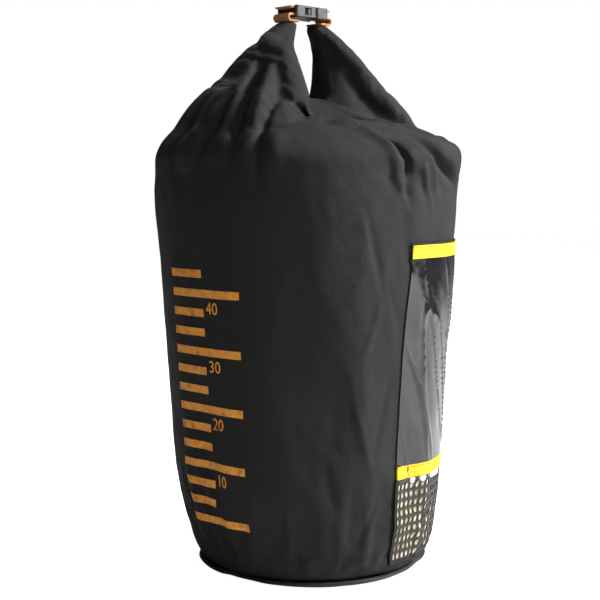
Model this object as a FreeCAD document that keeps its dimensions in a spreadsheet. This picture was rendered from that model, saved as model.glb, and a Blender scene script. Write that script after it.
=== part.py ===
import FreeCAD, Part
import Sketcher
import math
import os

# A rope storage bag: a tapered fabric tube on a round base, its mouth rolled up and bent into
# a carry loop that a side-release buckle closes.  Millimetres.  Z is up, the origin is the
# centre of the base, and X runs along the mouth, so the loop and its buckle lie in the XZ plane.
# Azimuths are degrees from +X, anticlockwise seen from above.

doc = FreeCAD.newDocument("rope_bag")
sheet = doc.addObject("Spreadsheet::Sheet", "sizes")

SIZES = [
    # the fabric tube
    ("wall", 2.0, "thickness of the fabric with its lining"),
    ("gap", 0.3, "clearance between two soft layers"),
    ("seam_radius", 111.0, "radius of the base seam, at the middle of its binding"),
    ("binding_radius", 2.4, "half the thickness of the rolled binding round the base"),
    ("base_thickness", 2.5, "base panel"),
    ("heel_radius", 121.0, "outside of the tube just above its rounded heel"),
    ("heel_height", 30.0, "height of the heel"),
    ("heel_swell", 5.0, "how far the middle of the heel stands out past the seam"),
    ("shoulder_radius", 141.0, "outside of the tube where it starts to close"),
    ("tube_height", 348.0, "height of the shoulder"),
    # the gathered crown above the shoulder: four oval rings, each with a rise and two half widths
    ("brow_rise", 26.0, "first ring above the shoulder"),
    ("brow_x", 138.0, "half width along the mouth"),
    ("brow_y", 124.0, "half width across the mouth"),
    ("crown_rise", 46.0, "second ring above the shoulder"),
    ("crown_x", 118.0, "half width along the mouth"),
    ("crown_y", 86.0, "half width across the mouth"),
    ("neck_rise", 60.0, "third ring above the shoulder"),
    ("neck_x", 88.0, "half width along the mouth"),
    ("neck_y", 48.0, "half width across the mouth"),
    ("mouth_rise", 68.0, "rim of the mouth above the shoulder"),
    ("mouth_x", 50.0, "half width along the mouth"),
    ("mouth_y", 20.0, "half width across the mouth"),
    # the rolled mouth, bent into a carry loop
    ("roll_thickness", 9.0, "rolled mouth, across its layers"),
    ("roll_width", 24.0, "rolled mouth, along Y"),
    ("loop_width", 52.0, "clear width inside the loop"),
    ("loop_height", 74.0, "clear height inside the loop"),
    ("loop_cut", 3.0, "how far below the top of that oval the tips of the roll end"),
    ("loop_lean", 8.0, "degrees that the loop leans towards -X"),
    ("stiffener_thickness", 1.2, "plastic strip inside the roll"),
    ("stiffener_width", 16.0, "plastic strip, along Y"),
    ("stiffener_short", 8.0, "how far the strip stops below the tips of the roll"),
    # the two ears of fabric that the loop draws up: an oval foot on the crown and an oval tip
    ("ear_foot_x", 62.0, "middle of an ear's foot, from the axis"),
    ("ear_foot_half_x", 62.0, "half width of the foot along the mouth"),
    ("ear_foot_half_y", 96.0, "half width of the foot across the mouth"),
    ("ear_tip_x", 14.0, "middle of an ear's tip, from the middle of the loop"),
    ("ear_tip_half_x", 12.0, "half width of the tip along the mouth"),
    ("ear_tip_half_y", 12.5, "half width of the tip across the mouth"),
    # the window pocket, the tapes that bind it and the drain mesh below
    ("window_azimuth", 298.0, "middle of the window"),
    ("window_angle", 62.0, "degrees of the tube that the window covers"),
    ("tape_width", 11.5, "tape, on its visible side"),
    ("tape_thickness", 1.2, "tape, folded round the edge"),
    ("lower_tape_height", 92.0, "bottom edge of the lower tape"),
    ("upper_tape_height", 287.5, "bottom edge of the upper tape"),
    ("film_thickness", 0.6, "clear film"),
    ("film_tuck", 8.0, "how far the film runs under the upper tape"),
    ("hem_width", 5.0, "doubled edge of the film that shows under the lower tape"),
    ("mesh_thickness", 0.8, "drain mesh"),
    ("mesh_height", 32.0, "bottom edge of the mesh"),
    ("mesh_seam", 7.0, "seam allowance of the mesh, on each side"),
    ("lining_thickness", 0.8, "pale lining behind the mesh"),
    # the back seam and the printed scale
    ("seam_azimuth", 75.0, "middle of the back seam"),
    ("seam_tape_angle", 7.0, "degrees that its tape covers"),
    ("seam_tape_thickness", 0.9, "tape of the back seam"),
    ("seam_tape_margin", 6.0, "space left at each end of the tape"),
    ("print_azimuth", 182.0, "middle of the printed scale"),
    ("print_thickness", 0.3, "transfer print"),
    ("print_bottom", 50.0, "bottom edge of the lowest bar"),
    ("print_pitch", 17.0, "from one bar to the next"),
    ("print_bar", 7.0, "height of a bar"),
    ("print_count", 14, "number of bars"),
    ("print_step", 3, "every bar of this number is a long one"),
    ("print_long", 36.0, "degrees that a long bar covers"),
    ("print_short", 18.0, "degrees that a short bar covers"),
    # the loop inside that the end of the rope is tied to
    ("rope_loop_height", 42.0, "inside rope loop"),
    ("rope_loop_span", 30.0, "its length along X"),
    ("rope_loop_y", 92.0, "how far from the axis it is sewn"),
    # webbing and buckle
    ("webbing_width", 20.0, "webbing"),
    ("webbing_thickness", 1.7, "webbing"),
    ("hairpin_air", 1.5, "space inside the webbing's hairpin turn"),
    ("hairpin_reach", 0.8, "how far the hairpin runs out past the bar before it turns"),
    ("webbing_tack", 5.0, "how far the webbing lies over the tip of the roll, past the bar"),
    ("buckle_width", 26.0, "buckle, along Y"),
    ("buckle_thickness", 9.6, "buckle, along Z"),
    ("buckle_round", 2.4, "fillet of the buckle's upright edges"),
    ("socket_length", 26.0, "socket, along X"),
    ("tongue_length", 15.0, "the part of the tongue outside the socket"),
    ("tongue_inset", 0.4, "how much narrower the tongue is than the socket, on each side"),
    ("mouth_play", 0.3, "space between the socket and the tongue's collar"),
    ("bar_length", 3.0, "webbing bar, along X"),
    ("bar_thickness", 2.6, "webbing bar, along Z"),
    ("bar_air", 0.9, "space between the bar and the webbing that turns round it"),
    ("slot_length", 4.4, "slot for the webbing, along X"),
    ("cavity_depth", 17.0, "socket's cavity, from its mouth"),
    ("cavity_half", 10.8, "half the cavity's width"),
    ("cavity_thickness", 6.4, "socket's cavity, along Z"),
    ("catch_from", 7.0, "from the socket's mouth to the near edge of the side windows"),
    ("catch_length", 8.4, "side windows, along X"),
    ("guide_length", 13.5, "tongue's guide, along X"),
    ("guide_width", 3.4, "tongue's guide, along Y"),
    ("guide_thickness", 3.2, "tongue's guide, along Z"),
    ("prong_y", 8.7, "from the buckle's axis to the middle of a prong"),
    ("prong_width", 2.2, "prong, along Y"),
    ("prong_thickness", 5.2, "prong, along Z"),
    ("prong_length", 14.6, "prong, from its knuckle to its end"),
    ("knuckle_radius", 1.5, "round root of a prong"),
    ("knuckle_clearance", 0.08, "between the knuckle and its seat"),
    ("barb_reach", 2.4, "how far a barb stands out from its prong"),
    ("barb_back", 7.6, "from the socket's mouth to the barb's flat back"),
    ("barb_nose", 1.4, "length of the straight end in front of the barb's slope"),
]

for row, (alias, value, note) in enumerate(SIZES, start=1):
    sheet.set(f"A{row}", note)
    sheet.set(f"B{row}", str(value))
    sheet.setAlias(f"B{row}", alias)
doc.recompute()


def size(alias):
    """The number that a cell of the sheet holds."""
    return float(sheet.get(alias))


def words(expression):
    """An expression over bare aliases, with each alias turned into its cell."""
    spaced = expression
    for sign in "+-*/()":
        spaced = spaced.replace(sign, f" {sign} ")
    names = {alias for alias, _, _ in SIZES}
    return " ".join("sizes." + word if word in names else word for word in spaced.split())


def number(expression):
    """The value of an expression over the aliases."""
    return float(sheet.evalExpression(words(expression).replace("sizes.", "")))


# Heights that several pieces share
LOOP_FOOT = "(tube_height + mouth_rise + gap)"
LOOP_CENTRE_Z = f"({LOOP_FOOT} + roll_thickness + loop_height/2)"
TIP_Z = f"({LOOP_CENTRE_Z} + loop_height/2 - loop_cut)"


def cone_radius(height, offset="0"):
    """Outside radius of the tapered tube at a height, plus an offset."""
    slope = "(shoulder_radius - heel_radius)/(tube_height - heel_height)"
    return f"(heel_radius + ({height} - heel_height)*{slope} + {offset})"


# ---------------------------------------------------------------- helpers
def bind(thing, **properties):
    """Sets properties of an object by expressions over the sheet."""
    for name, expression in properties.items():
        thing.setExpression(name.replace("__", "."), words(expression))
    return thing


def origin_plane(body, role):
    for feature in body.Origin.OriginFeatures:
        if feature.Role == role:
            return feature
    raise ValueError(role)


def outline(body, plane, name, points):
    """A closed sketch of straight edges; each corner is a pair of expressions."""
    sketch = body.newObject("Sketcher::SketchObject", name)
    sketch.AttachmentSupport = (origin_plane(body, plane), [""])
    sketch.MapMode = "FlatFace"
    corners = [FreeCAD.Vector(number(a), number(b), 0) for a, b in points]
    count = len(corners)
    for i in range(count):
        sketch.addGeometry(Part.LineSegment(corners[i], corners[(i + 1) % count]), False)
    for i in range(count):
        sketch.addConstraint(Sketcher.Constraint("Coincident", i, 2, (i + 1) % count, 1))
    for i, (a, b) in enumerate(points):
        for kind, expression, value in (("X", a, corners[i].x), ("Y", b, corners[i].y)):
            if abs(value) < 1e-9:
                line = -2 if kind == "X" else -1
                sketch.addConstraint(Sketcher.Constraint("PointOnObject", i, 1, line))
                continue
            index = sketch.addConstraint(Sketcher.Constraint("Distance" + kind, -1, 1, i, 1, value))
            sketch.setExpression(f"Constraints[{index}]", words(expression))
    return sketch


def new_body(label):
    body = doc.addObject("PartDesign::Body", label)
    body.Label = label
    return body


def turned(label, points, angle="360", start=None):
    """A body revolved about Z from a profile in the XZ plane, from a start azimuth."""
    body = new_body(label)
    sketch = outline(body, "XZ_Plane", label + "_profile", points)
    turn = body.newObject("PartDesign::Revolution", label + "_turn")
    turn.Profile = sketch
    turn.ReferenceAxis = (sketch, ["V_Axis"])
    bind(turn, Angle=angle)
    body.Tip = turn
    if start is not None:
        bind(body, Placement__Rotation__Angle=start)
    return body


def padded(label, plane, points, length):
    """A body padded to both sides of an origin plane."""
    body = new_body(label)
    sketch = outline(body, plane, label + "_outline", points)
    pad = body.newObject("PartDesign::Pad", label + "_pad")
    pad.Profile = sketch
    pad.Midplane = True
    bind(pad, Length=length)
    body.Tip = pad
    return body


def box(name, x0, x1, y0, y1, z0, z1):
    """A box between six expressions."""
    block = doc.addObject("Part::Box", name)
    return bind(
        block,
        Length=f"({x1}) - ({x0})",
        Width=f"({y1}) - ({y0})",
        Height=f"({z1}) - ({z0})",
        Placement__Base__x=x0,
        Placement__Base__y=y0,
        Placement__Base__z=z0,
    )


def fused(name, *things):
    join = doc.addObject("Part::MultiFuse", name)
    join.Shapes = list(things)
    return join


def cut(name, base, tool):
    made = doc.addObject("Part::Cut", name)
    made.Base = base
    made.Tool = tool
    return made


def common(name, base, tool):
    made = doc.addObject("Part::Common", name)
    made.Base = base
    made.Tool = tool
    return made


def filleted(name, base, radius_alias, chosen):
    """Rounds the edges of a finished shape that pass a test."""
    doc.recompute()
    radius = size(radius_alias)
    made = doc.addObject("Part::Fillet", name)
    made.Base = base
    edges = enumerate(base.Shape.Edges, start=1)
    made.Edges = [(i, radius, radius) for i, edge in edges if chosen(edge)]
    return made



nodes = []


def node(thing, label):
    """Marks an object as a finished sub-part under its own label."""
    thing.Label = label
    nodes.append(thing)
    return thing


# ---------------------------------------------------------------- tube, base and binding
def tube_wall():
    """The tapered tube with its rounded heel, up to the shoulder."""
    foot = "(2*binding_radius + gap)"
    return turned(
        "tube_wall",
        [
            ("seam_radius - wall/2", foot),
            ("seam_radius + wall/2", foot),
            ("seam_radius + heel_swell", "heel_height/2"),
            ("heel_radius", "heel_height"),
            ("shoulder_radius", "tube_height"),
            ("shoulder_radius - wall", "tube_height"),
            ("heel_radius - wall", "heel_height"),
            ("seam_radius + heel_swell - wall", "heel_height/2"),
        ],
    )


def crown_loft(name, inset):
    """The crown as a stack of oval rings from the shoulder to the rim of the mouth."""
    rings = [
        ("0", "shoulder_radius", "shoulder_radius"),
        ("brow_rise", "brow_x", "brow_y"),
        ("crown_rise", "crown_x", "crown_y"),
        ("neck_rise", "neck_x", "neck_y"),
        ("mouth_rise", "mouth_x", "mouth_y"),
    ]
    sections = []
    for i, (rise, half_x, half_y) in enumerate(rings):
        ring = doc.addObject("Part::Ellipse", f"{name}_ring_{i}")
        bind(
            ring,
            MajorRadius=f"{half_x} + {inset}",
            MinorRadius=f"{half_y} + {inset}",
            Placement__Base__z=f"tube_height + {rise}",
        )
        sections.append(ring)
    loft = doc.addObject("Part::Loft", name)
    loft.Sections = sections
    loft.Solid = True
    loft.Ruled = True
    return loft


def window_wedge(name, margin, z0, z1, r0, r1):
    """A block over the window's azimuths, less a margin in millimetres at each side."""
    trim = f"({margin})/heel_radius*180/pi"
    return turned(
        name,
        [(r0, z0), (r1, z0), (r1, z1), (r0, z1)],
        angle=f"window_angle - 2*{trim}",
        start=f"window_azimuth - window_angle/2 + {trim}",
    )


def patch(label, z0, z1, inner, thickness, angle, start):
    """A thin panel that follows the taper of the tube, an offset outside its surface."""
    return turned(
        label,
        [
            (cone_radius(z0, inner), z0),
            (cone_radius(z0, f"{inner} + {thickness}"), z0),
            (cone_radius(z1, f"{inner} + {thickness}"), z1),
            (cone_radius(z1, inner), z1),
        ],
        angle,
        start,
    )


WINDOW_START = "window_azimuth - window_angle/2"
tube = tube_wall()
crown = cut("crown_wall", crown_loft("crown_outside", "0"), crown_loft("crown_inside", "0 - wall"))
drain = window_wedge(
    "drain_cut",
    "mesh_seam",
    "mesh_height + mesh_seam",
    "lower_tape_height - mesh_seam - hem_width",
    "seam_radius/2",
    "shoulder_radius + wall",
)
node(cut("body_cut", fused("body_whole", tube, crown), drain), "body_panel")

base = doc.addObject("Part::Cylinder", "base_disc")
bind(base, Radius="seam_radius - binding_radius - gap", Height="base_thickness")
node(base, "base_panel")

binding = doc.addObject("Part::Torus", "binding_ring")
bind(
    binding,
    Radius1="seam_radius",
    Radius2="binding_radius",
    Placement__Base__z="binding_radius",
)
node(binding, "base_binding")

node(
    patch(
        "back_seam_tape",
        "heel_height + seam_tape_margin",
        "tube_height - seam_tape_margin",
        "gap",
        "seam_tape_thickness",
        "seam_tape_angle",
        "seam_azimuth - seam_tape_angle/2",
    ),
    "back_seam_tape",
)

# ---------------------------------------------------------------- window pocket and drain mesh
FILM_TOP = "upper_tape_height + film_tuck"
TAPE_OFFSET = "2*gap + film_thickness"
film = patch(
    "film", "lower_tape_height - hem_width", FILM_TOP, "gap", "film_thickness", "window_angle", WINDOW_START
)
node(film, "window_film")
TAPES = (("window_upper_tape", "upper_tape_height"), ("window_lower_tape", "lower_tape_height"))

for label, bottom in TAPES:
    top = f"{bottom} + tape_width"
    node(
        patch(label + "_body", bottom, top, TAPE_OFFSET, "tape_thickness", "window_angle", WINDOW_START),
        label,
    )
node(
    patch(
        "hem",
        "lower_tape_height - hem_width",
        "lower_tape_height - gap",
        TAPE_OFFSET,
        "film_thickness",
        "window_angle",
        WINDOW_START,
    ),
    "film_hem",
)
node(
    patch(
        "mesh",
        "mesh_height",
        "lower_tape_height - hem_width - gap",
        "gap",
        "mesh_thickness",
        "window_angle",
        WINDOW_START,
    ),
    "drain_mesh",
)
node(
    patch(
        "lining",
        "mesh_height",
        "lower_tape_height",
        "0 - wall - gap - lining_thickness",
        "lining_thickness",
        "window_angle",
        WINDOW_START,
    ),
    "mesh_lining",
)


# ---------------------------------------------------------------- printed scale
def scale_bar(index):
    """One bar of the scale; every third is long."""
    low = size("print_bottom") + index * size("print_pitch")
    high = low + size("print_bar")
    long_bar = index % int(size("print_step")) == 0
    angle = size("print_long") if long_bar else size("print_short")
    skin = size("gap"), size("gap") + size("print_thickness")
    corners = [
        FreeCAD.Vector(number(cone_radius(str(z))) + offset, 0, z)
        for z, offset in ((low, skin[0]), (low, skin[1]), (high, skin[1]), (high, skin[0]))
    ]
    face = Part.Face(Part.makePolygon(corners + corners[:1]))
    bar = face.revolve(FreeCAD.Vector(), FreeCAD.Vector(0, 0, 1), angle)
    centre = size("print_azimuth")
    bar.rotate(FreeCAD.Vector(), FreeCAD.Vector(0, 0, 1), centre - size("print_long") / 2)
    return bar


scale = doc.addObject("Part::Feature", "scale")
scale.Shape = Part.Compound([scale_bar(i) for i in range(int(size("print_count")))])
node(scale, "printed_scale")


# ---------------------------------------------------------------- rolled mouth and ears
def loop_oval(name, offset, length):
    """An oval rod along Y: the clear space of the loop, made wider all round by an offset."""
    oval = doc.addObject("Part::Ellipse", name + "_oval")
    upright = FreeCAD.Rotation(FreeCAD.Vector(0, 0, 1), FreeCAD.Vector(-1, 0, 0), FreeCAD.Vector(0, -1, 0))
    oval.Placement = FreeCAD.Placement(FreeCAD.Vector(), upright)
    bind(oval, MajorRadius=f"loop_height/2 + {offset}", MinorRadius=f"loop_width/2 + {offset}")
    rod = doc.addObject("Part::Extrusion", name)
    rod.Base = oval
    rod.DirMode = "Normal"
    rod.Symmetric = True
    rod.Solid = True
    return bind(rod, LengthFwd=length)


def leaned(thing):
    """Puts a loop shape in place: its middle over the mouth, leaning towards -X."""
    thing.Placement = FreeCAD.Placement(FreeCAD.Vector(), FreeCAD.Rotation(FreeCAD.Vector(0, -1, 0), 1))
    return bind(thing, Placement__Base__z=LOOP_CENTRE_Z, Placement__Rotation__Angle="loop_lean")


def below(name, top):
    """A large block under a height, to trim the tips level."""
    reach = "2*shoulder_radius"
    return box(name, f"0 - {reach}", reach, f"0 - {reach}", reach, "0", top)


def band(name, inner, outer, width, slot=None):
    """A band round the loop between two offsets from its clear space, with an optional slot."""
    outside = loop_oval(name + "_out", outer, width)
    inside = loop_oval(name + "_in", inner, "2*roll_width")
    ring = cut(name + "_ring", outside, inside)
    return cut(name + "_slotted", ring, slot) if slot else ring


MIDDLE = "roll_thickness/2"
SLOT = "(stiffener_thickness/2 + gap)"
stiffener_slot = band("slot", f"{MIDDLE} - {SLOT}", f"{MIDDLE} + {SLOT}", "stiffener_width + 2*gap")
roll = band("roll", "0", "roll_thickness", "roll_width", stiffener_slot)
node(common("roll_trimmed", leaned(roll), below("under_tips", TIP_Z)), "rolled_mouth")
strip_inner = f"{MIDDLE} - stiffener_thickness/2"
strip_outer = f"{MIDDLE} + stiffener_thickness/2"
strip = leaned(band("strip", strip_inner, strip_outer, "stiffener_width"))
under_strip = below("under_strip", f"{TIP_Z} - stiffener_short")
node(common("strip_trimmed", strip, under_strip), "mouth_stiffener")

ear_tool = fused(
    "ear_tool",
    crown_loft("crown_clear", "gap"),
    bind(doc.addObject("Part::Cylinder", "tube_clear"), Radius="shoulder_radius + gap", Height="tube_height"),
    leaned(loop_oval("roll_clear", "roll_thickness + gap", "2*shoulder_radius")),
)


def loop_shift(height):
    """How far the loop's middle line has leaned along X at a height."""
    return -math.tan(math.radians(size("loop_lean"))) * (number(height) - number(LOOP_CENTRE_Z))


def ear(label, side):
    """The cone of fabric from the crown up to a tip of the roll, on one side (-1 or 1)."""
    sections = []
    for tag, x, z, half_x, half_y in (
        ("foot", f"{side}*ear_foot_x", "tube_height", "ear_foot_half_x", "ear_foot_half_y"),
        ("tip", f"{loop_shift(TIP_Z):.4f} + {side}*ear_tip_x", TIP_Z, "ear_tip_half_x", "ear_tip_half_y"),
    ):
        oval = doc.addObject("Part::Ellipse", f"{label}_{tag}")
        oval.Placement = FreeCAD.Placement(FreeCAD.Vector(), FreeCAD.Rotation(FreeCAD.Vector(0, 0, 1), 90))
        bind(oval, MajorRadius=half_y, MinorRadius=half_x, Placement__Base__x=x, Placement__Base__z=z)
        sections.append(oval)
    cone = doc.addObject("Part::Loft", label + "_cone")
    cone.Sections = sections
    cone.Solid = True
    cone.Ruled = True
    return cut(label + "_cut", cone, ear_tool)


node(ear("near", -1), "near_ear")
node(ear("far", 1), "far_ear")

# ---------------------------------------------------------------- buckle
LEG_Z = f"({TIP_Z} + gap + webbing_thickness/2)"
BAR_GAP = "(bar_thickness/2 + bar_air + webbing_thickness/2)"
HAIRPIN = "(webbing_thickness + hairpin_air)"
BUCKLE_Z = f"({LEG_Z} + 2*{HAIRPIN} + {BAR_GAP})"


BUCKLE_X = f"{loop_shift(TIP_Z):.4f}"
BACK = f"({BUCKLE_X} - (socket_length + mouth_play + tongue_length)/2)"
FACE = f"({BACK} + socket_length)"
COLLAR = f"({FACE} + mouth_play)"
END = f"({COLLAR} + tongue_length)"
HALF = "buckle_thickness/2"


def level_box(name, x0, x1, half_y, half_z):
    """A box centred across the buckle and on its middle height."""
    return box(
        name,
        x0,
        x1,
        f"0 - {half_y}",
        half_y,
        f"{BUCKLE_Z} - {half_z}",
        f"{BUCKLE_Z} + {half_z}",
    )


def upright(edge):
    a, b = (v.Point for v in edge.Vertexes)
    return abs(a.x - b.x) < 1e-6 and abs(a.y - b.y) < 1e-6


def bar_cuts(name, bar_from, bar_to, slot_from, slot_to):
    """What leaves a thin webbing bar at the end of a buckle half: a slot and two reliefs."""
    slot = level_box(name + "_slot", slot_from, slot_to, "(webbing_width/2 + 2*gap)", HALF)
    reliefs = [
        box(
            f"{name}_relief_{tag}",
            bar_from,
            bar_to,
            "0 - (webbing_width/2 + 2*gap)",
            "(webbing_width/2 + 2*gap)",
            z0,
            z1,
        )
        for tag, z0, z1 in (
            ("over", f"{BUCKLE_Z} + bar_thickness/2", f"{BUCKLE_Z} + buckle_thickness"),
            ("under", f"{BUCKLE_Z} - buckle_thickness", f"{BUCKLE_Z} - bar_thickness/2"),
        )
    ]
    return [slot, *reliefs]


def socket():
    """The half that the prongs snap into: a flat sleeve with a window in each side."""
    block = level_box("socket_block", BACK, FACE, "buckle_width/2", HALF)
    soft = filleted("socket_soft", block, "buckle_round", upright)
    cavity = level_box(
        "cavity", f"{FACE} - cavity_depth", f"{FACE} + 1", "cavity_half", "cavity_thickness/2"
    )
    windows = level_box(
        "catch_windows",
        f"{FACE} - catch_from - catch_length",
        f"{FACE} - catch_from",
        "buckle_width",
        "cavity_thickness/2",
    )
    bar = bar_cuts(
        "socket_bar", f"{BACK} - 1", f"{BACK} + bar_length", f"{BACK} + bar_length",
        f"{BACK} + bar_length + slot_length",
    )
    return cut("socket_cut", soft, fused("socket_tool", cavity, windows, *bar))


def knuckle(name, side, radius):
    """The round root of a prong, or its seat in the collar."""
    rod = doc.addObject("Part::Cylinder", name)
    return bind(
        rod,
        Radius=radius,
        Height="prong_thickness + 2*gap",
        Placement__Base__x=f"{COLLAR} + knuckle_radius",
        Placement__Base__y=f"{side}*prong_y",
        Placement__Base__z=f"{BUCKLE_Z} - prong_thickness/2 - gap",
    )


def tongue():
    """The half that pulls out: a collar with a webbing bar behind and a guide in front."""
    block = level_box("tongue_block", COLLAR, END, "(buckle_width/2 - tongue_inset)", HALF)
    soft = filleted("tongue_soft", block, "buckle_round", upright)
    guide = level_box(
        "guide", f"{COLLAR} - guide_length", f"{COLLAR} + 1", "guide_width/2", "guide_thickness/2"
    )
    bar = bar_cuts(
        "tongue_bar", f"{END} - bar_length", f"{END} + 1",
        f"{END} - bar_length - slot_length", f"{END} - bar_length",
    )
    seats = []
    for tag, side in (("left", -1), ("right", 1)):
        seats.append(knuckle(f"seat_{tag}", side, "knuckle_radius + knuckle_clearance"))
        inner = f"{side}*prong_y - prong_width"
        seats.append(
            box(
                f"seat_mouth_{tag}",
                f"{COLLAR} - 1",
                f"{COLLAR} + knuckle_radius",
                inner,
                f"{inner} + 2*prong_width",
                f"{BUCKLE_Z} - prong_thickness/2 - gap",
                f"{BUCKLE_Z} + prong_thickness/2 + gap",
            )
        )
    return cut("tongue_cut", fused("tongue_whole", soft, guide), fused("tongue_tool", *bar, *seats))


def prong(label, side):
    """A springy arm with a barb, on a round knuckle that stands for its flexing root."""
    inner = f"{side}*(prong_y - prong_width/2)"
    outer = f"{side}*(prong_y + prong_width/2)"
    barb = f"{side}*(prong_y + prong_width/2 + barb_reach)"
    end = f"({COLLAR} + knuckle_radius - prong_length)"
    back = f"({FACE} - barb_back)"
    arm = padded(
        label + "_arm",
        "XY_Plane",
        [
            (f"{COLLAR} + knuckle_radius/2", inner),
            (f"{COLLAR} + knuckle_radius/2", outer),
            (back, outer),
            (back, barb),
            (f"{back} - barb_reach", barb),
            (f"{end}", f"{side}*(prong_y + prong_width/2)"),
            (f"{end} - barb_nose/2", f"{side}*prong_y"),
            (end, inner),
        ],
        "prong_thickness",
    )
    bind(arm, Placement__Base__z=BUCKLE_Z)
    root = doc.addObject("Part::Cylinder", label + "_root")
    bind(
        root,
        Radius="knuckle_radius",
        Height="prong_thickness",
        Placement__Base__x=f"{COLLAR} + knuckle_radius",
        Placement__Base__y=f"{side}*prong_y",
        Placement__Base__z=f"{BUCKLE_Z} - prong_thickness/2",
    )
    return fused(label + "_whole", arm, root)


node(socket(), "buckle_socket")
node(tongue(), "buckle_tongue")
node(prong("front", -1), "front_prong")
node(prong("back", 1), "back_prong")


# ---------------------------------------------------------------- webbing
def strap(path, width, thickness):
    """A flat strap whose middle follows a path in the XZ plane."""
    side = path.makeOffset2D(thickness / 2, fill=True, openResult=False)
    side.translate(FreeCAD.Vector(0, -width / 2, 0))
    return side.extrude(FreeCAD.Vector(0, width, 0))


def flat_point(x, z):
    return FreeCAD.Vector(x, 0, z)


def webbing_path(bar_x, side):
    """A hairpin from the tip of the roll up to the buckle and round its bar."""
    top = number(BUCKLE_Z)
    leg = number(LEG_Z)
    turn = number(HAIRPIN)
    round_bar = number(BAR_GAP)
    out = bar_x + side * (size("bar_length") / 2 + turn + size("hairpin_reach"))
    inner = bar_x - side * size("webbing_tack")
    under = top - round_bar
    return Part.Wire(
        [
            Part.LineSegment(flat_point(inner, leg), flat_point(out, leg)).toShape(),
            Part.Arc(
                flat_point(out, leg),
                flat_point(out + side * turn, leg + turn),
                flat_point(out, under),
            ).toShape(),
            Part.LineSegment(flat_point(out, under), flat_point(bar_x, under)).toShape(),
            Part.Arc(
                flat_point(bar_x, under),
                flat_point(bar_x - side * round_bar, top),
                flat_point(bar_x, top + round_bar),
            ).toShape(),
            Part.LineSegment(
                flat_point(bar_x, top + round_bar), flat_point(out + side, top + round_bar)
            ).toShape(),
        ]
    )


def webbing(label, bar_x, side):
    tab = doc.addObject("Part::Feature", label + "_strap")
    path = webbing_path(bar_x, side)
    tab.Shape = strap(path, size("webbing_width"), size("webbing_thickness"))
    return node(tab, label)


webbing("near_webbing", number(f"{BACK} + bar_length/2"), -1)
webbing("far_webbing", number(f"{END} - bar_length/2"), 1)


def rope_loop():
    """The loop that the end of the rope is tied to, sewn to the base inside the bag."""
    foot = size("base_thickness") + size("gap") + size("webbing_thickness") / 2
    half = size("rope_loop_span") / 2
    top = foot + size("rope_loop_height")
    path = Part.Wire(
        [
            Part.LineSegment(flat_point(-half / 2, foot), flat_point(half, foot)).toShape(),
            Part.LineSegment(flat_point(half, foot), flat_point(half, top - half)).toShape(),
            Part.Arc(
                flat_point(half, top - half), flat_point(0, top), flat_point(-half, top - half)
            ).toShape(),
            Part.LineSegment(flat_point(-half, top - half), flat_point(-half, foot + 3)).toShape(),
        ]
    )
    loop = doc.addObject("Part::Feature", "rope_loop_strap")
    loop.Shape = strap(path, size("webbing_width") / 2, size("webbing_thickness"))
    loop.Placement = FreeCAD.Placement(FreeCAD.Vector(0, size("rope_loop_y"), 0), FreeCAD.Rotation())
    return node(loop, "rope_loop")


rope_loop()


# ---------------------------------------------------------------- checks and files
def finish():
    doc.recompute()
    for thing in doc.Objects:
        state = list(thing.State)
        if "Invalid" in state or "Error" in state:
            raise RuntimeError(f"{thing.Label} failed: {state}")
    os.makedirs("parts", exist_ok=True)
    for thing in nodes:
        shape = thing.Shape
        if shape.isNull() or not shape.isValid() or not shape.Solids:
            raise RuntimeError(f"{thing.Label} has no valid solid")
        shape.exportStep(f"parts/{thing.Label}.step")
        extent = shape.BoundBox
        print(
            f"{thing.Label:20s} {len(shape.Solids):3d} solids {shape.Volume:11.1f} mm3"
            f"  x {extent.XMin:7.1f} {extent.XMax:7.1f}  y {extent.YMin:7.1f} {extent.YMax:7.1f}"
            f"  z {extent.ZMin:7.1f} {extent.ZMax:7.1f}"
        )


finish()
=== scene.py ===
import bpy
import math
import numpy
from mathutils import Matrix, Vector, noise
from mathutils.bvhtree import BVHTree


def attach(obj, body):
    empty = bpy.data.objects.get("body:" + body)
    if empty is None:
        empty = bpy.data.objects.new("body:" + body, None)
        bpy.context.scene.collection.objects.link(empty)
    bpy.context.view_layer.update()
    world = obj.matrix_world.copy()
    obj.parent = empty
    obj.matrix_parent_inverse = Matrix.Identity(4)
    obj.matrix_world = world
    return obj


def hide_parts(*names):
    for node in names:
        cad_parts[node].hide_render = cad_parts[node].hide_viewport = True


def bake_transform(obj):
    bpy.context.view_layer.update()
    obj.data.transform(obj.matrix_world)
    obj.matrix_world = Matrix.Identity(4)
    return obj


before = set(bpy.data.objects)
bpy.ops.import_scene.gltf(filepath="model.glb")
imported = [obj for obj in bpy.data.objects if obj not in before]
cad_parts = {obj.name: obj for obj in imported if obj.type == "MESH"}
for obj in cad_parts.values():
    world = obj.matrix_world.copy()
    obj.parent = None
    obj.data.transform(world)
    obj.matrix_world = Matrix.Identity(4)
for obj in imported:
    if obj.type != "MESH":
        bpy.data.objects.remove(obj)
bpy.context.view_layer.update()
print("frame loaded")


# ---- small helpers, all in metres ----
def deselectAll():
    bpy.ops.object.select_all(action="DESELECT")


def makeActive(piece):
    deselectAll()
    piece.select_set(True)
    bpy.context.view_layer.objects.active = piece
    return piece


def applyModifiers(piece):
    makeActive(piece)
    for modifier in list(piece.modifiers):
        bpy.ops.object.modifier_apply(modifier=modifier.name)
    return piece


def addModifier(piece, kind, **values):
    modifier = piece.modifiers.new(kind.lower(), kind)
    for name, value in values.items():
        setattr(modifier, name, value)
    return modifier


def joinPieces(pieces, name):
    deselectAll()
    for piece in pieces:
        piece.select_set(True)
    bpy.context.view_layer.objects.active = pieces[0]
    if len(pieces) > 1:
        bpy.ops.object.join()
    pieces[0].name = name
    return pieces[0]


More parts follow.
